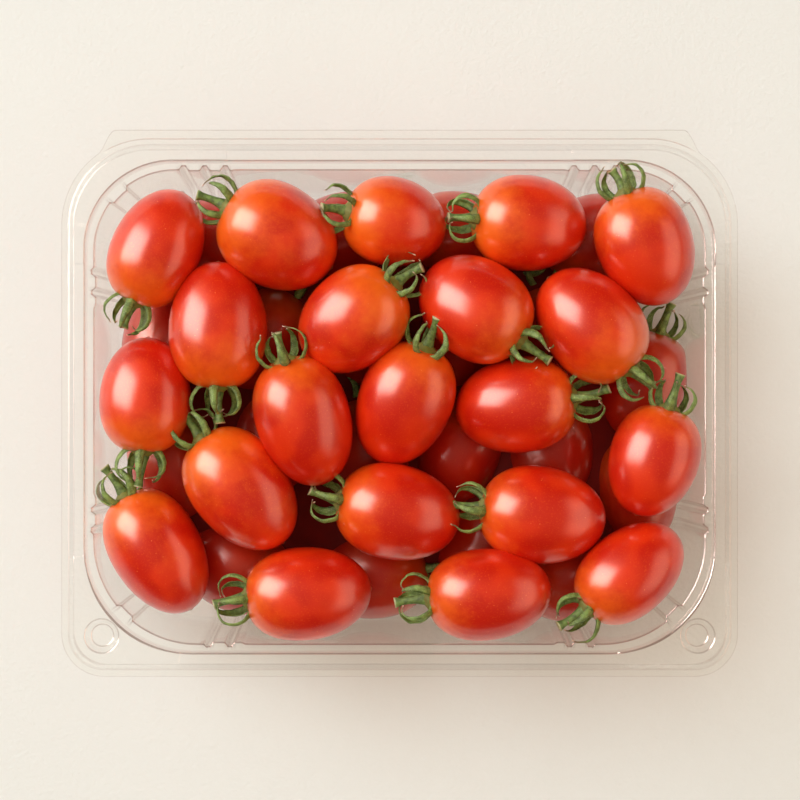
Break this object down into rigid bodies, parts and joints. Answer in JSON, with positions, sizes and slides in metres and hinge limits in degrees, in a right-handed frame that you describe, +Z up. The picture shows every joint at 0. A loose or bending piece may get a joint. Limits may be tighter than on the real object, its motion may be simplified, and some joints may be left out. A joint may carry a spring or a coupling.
{
  "type": "punnet of cherry tomatoes",
  "caption": "Clear thermoformed tray with a stepped rim, filled above its rim with two layers of plum-shaped cherry tomatoes that keep their green calyxes.",
  "frame": {"origin": "middle of the footprint, on the surface that the tray stands on", "axes": "+Z up, +X along the long side, +Y towards the side with the straight hinge strip"},
  "size_m": [0.19, 0.1536, 0.0538],
  "materials": {
    "clear_plastic": "clear thin film-grade plastic, smooth and glossy",
    "tomato_skin": "taut waxy fruit skin, red to orange at the shoulders, with green calyxes"
  },
  "bodies": {
    "root": {"tray": "clear_plastic", "tomatoes": "tomato_skin"}
  },
  "joints": []
}
